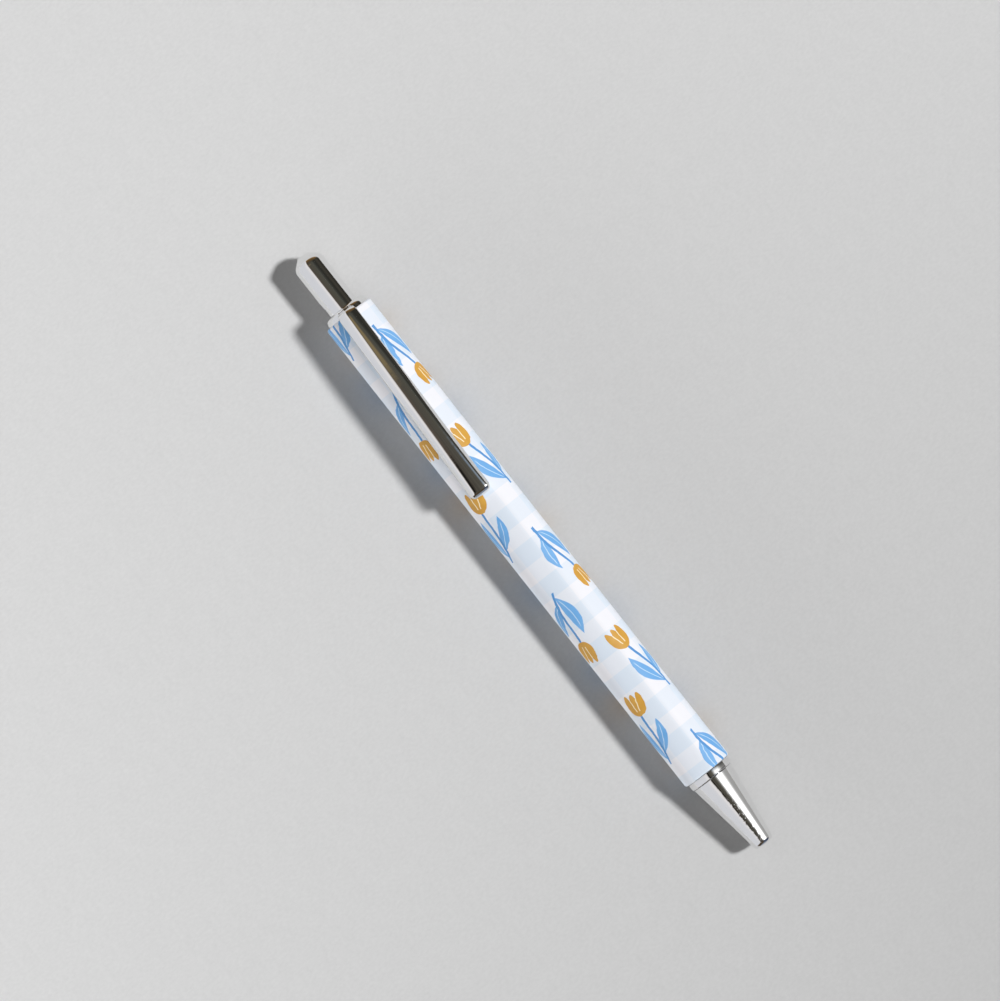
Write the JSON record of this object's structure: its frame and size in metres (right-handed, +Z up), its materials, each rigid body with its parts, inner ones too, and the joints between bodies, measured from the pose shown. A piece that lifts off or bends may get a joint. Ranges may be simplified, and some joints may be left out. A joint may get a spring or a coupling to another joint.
{
  "type": "click ballpoint pen",
  "caption": "Slim click ballpoint pen with a printed film round the barrel, a chrome button, clip and nose cone, and a working refill, spring and click mechanism.",
  "frame": {"origin": "on the surface the pen lies on, under the middle of its length", "axes": "+X along the pen from the push button to the writing tip, +Z up through the clip"},
  "size_m": [0.14, 0.0102, 0.0128],
  "materials": {
    "chrome_plate": "polished, mirror bright",
    "clip_chrome": "polished, mirror bright",
    "barrel_aluminium": "drawn tube, plain",
    "printed_film": "satin printed film, white and pale blue gingham with small motifs",
    "white_plastic": "moulded, matte",
    "rotor_plastic": "moulded, matte",
    "bush_brass": "turned",
    "spring_steel": "bright drawn wire",
    "refill_plastic": "extruded, translucent",
    "tip_brass": "turned",
    "ball_steel": "ground",
    "ink": "dark blue paste",
    "grease": "clear grease"
  },
  "bodies": {
    "barrel": {"barrel_tube": "barrel_aluminium", "print_sleeve": "printed_film", "cam_sleeve": "white_plastic", "top_collar": "chrome_plate", "thread_bush": "bush_brass"},
    "clip": {"clip": "clip_chrome"},
    "button": {"push_button": "chrome_plate", "plunger": "white_plastic"},
    "refill": {"refill_tube": "refill_plastic", "tip_holder": "white_plastic", "writing_tip": "tip_brass", "ink_column": "ink", "grease_plug": "grease"},
    "rotor": {"cam_rotor": "rotor_plastic"},
    "ball": {"writing_ball": "ball_steel"},
    "front_ring": {"lower_ring": "chrome_plate", "return_spring": "spring_steel"},
    "cone": {"nose_cone": "chrome_plate"}
  },
  "joints": [
    {"name": "button_press", "type": "slide", "parent": "barrel", "child": "button", "axis": [1, 0, 0], "range_m": [0, 0.0058], "stiffness_N_per_m": 300, "springref_m": -0.005},
    {"name": "refill_slide", "type": "slide", "parent": "barrel", "child": "refill", "axis": [1, 0, 0], "range_m": [0, 0.0058], "deforming": ["return_spring"]},
    {"name": "rotor_play", "type": "hinge", "parent": "refill", "child": "rotor", "pos_m": [-0.0384, 0, 0.00507], "axis": [1, 0, 0], "range_deg": [-2.5, 2.5]},
    {"name": "ball_roll", "type": "hinge", "parent": "refill", "child": "ball", "pos_m": [0.06765, 0, 0.00507], "axis": [0, 1, 0], "continuous": true},
    {"name": "clip_flex", "type": "hinge", "parent": "barrel", "child": "clip", "pos_m": [-0.05615, 0, 0.0088], "axis": [0, -1, 0], "range_deg": [0, 3], "stiffness_Nm_per_rad": 3.5},
    {"name": "ring_travel", "type": "slide", "parent": "barrel", "child": "front_ring", "axis": [1, 0, 0], "range_m": [0, 0.00375]},
    {"name": "cone_turn", "type": "hinge", "parent": "front_ring", "child": "cone", "pos_m": [0.06, 0, 0.00507], "axis": [1, 0, 0], "range_deg": [0, 1800]}
  ],
  "couplings": [
    {"joint": "refill_slide", "follows": "button_press", "ratio": 1},
    {"joint": "cone_turn", "follows": "ring_travel", "rad_per_m": 8377.6}
  ]
}
